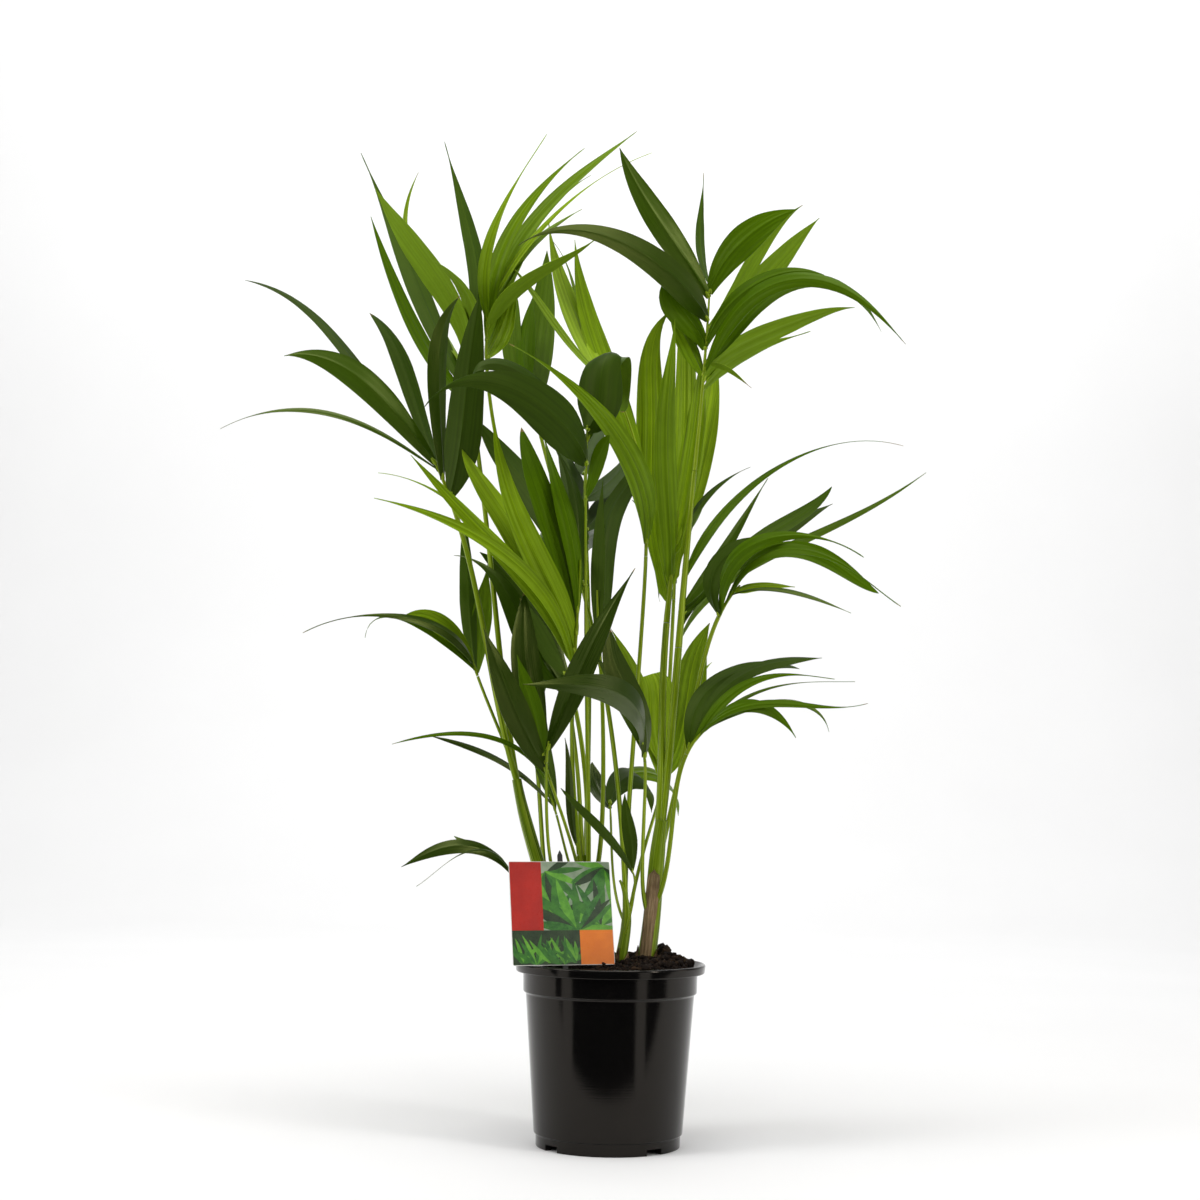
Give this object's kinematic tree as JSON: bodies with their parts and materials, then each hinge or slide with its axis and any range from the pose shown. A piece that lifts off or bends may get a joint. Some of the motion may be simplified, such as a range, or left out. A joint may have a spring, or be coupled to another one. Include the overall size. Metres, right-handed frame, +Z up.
{
  "type": "potted kentia palm",
  "caption": "Slender feather palm of several green stems with arching fronds of long pleated leaflets, in a round black plastic nursery pot of soil with a blank picture card.",
  "frame": {"origin": "centre of the flat underside of the pot", "axes": "+Z up along the pot's axis, -Y towards the front of the plant, +X to its right"},
  "size_m": [0.7373, 0.5261, 1.065],
  "materials": {
    "pot": "satin black moulded plastic, lightly scuffed",
    "soil": "moist dark peat, crumbly and matt",
    "label": "printed card with a satin coat",
    "stake": "black plastic, satin",
    "stem": "smooth yellow-green stalks, papery brown sheath at the foot",
    "leaf_dark": "deep green leaf, lengthwise pleats, satin gloss",
    "leaf_mid": "mid green leaf, lengthwise pleats, satin gloss",
    "leaf_light": "fresh yellow-green leaf, lengthwise pleats, satin gloss"
  },
  "bodies": {
    "root": {"pot": "pot", "soil": "soil", "label_card": "label", "label_stake": "stake", "stem_left": "stem", "stem_middle": "stem", "stem_centre_right": "stem", "stem_right": "stem", "frond_left_upper": "leaf_dark", "frond_left_top": "leaf_mid", "frond_top_fan": "leaf_light", "frond_rear_centre_upper": "leaf_mid", "frond_centre_tall": "leaf_light", "frond_front_centre_upper": "leaf_dark", "frond_centre_narrow": "leaf_dark", "frond_centre_light": "leaf_light", "frond_centre_dark": "leaf_dark", "frond_right_inner": "leaf_light", "frond_right_tall": "leaf_dark", "frond_right_tall_fan": "leaf_dark", "frond_right_middle": "leaf_dark", "frond_right_lower": "leaf_dark", "frond_left_middle": "leaf_dark", "frond_left_lower": "leaf_dark", "frond_left_lowest": "leaf_dark", "frond_front_left_inner": "leaf_dark", "frond_front_centre_blade": "leaf_dark", "frond_front_centre": "leaf_dark", "frond_rear_right_lower": "leaf_light", "frond_rear_centre_low": "leaf_dark", "frond_front_low_small": "leaf_dark", "frond_rear_centre": "leaf_mid", "frond_rear_right": "leaf_mid", "frond_rear_left": "leaf_mid", "frond_low_single": "leaf_dark"}
  },
  "joints": []
}
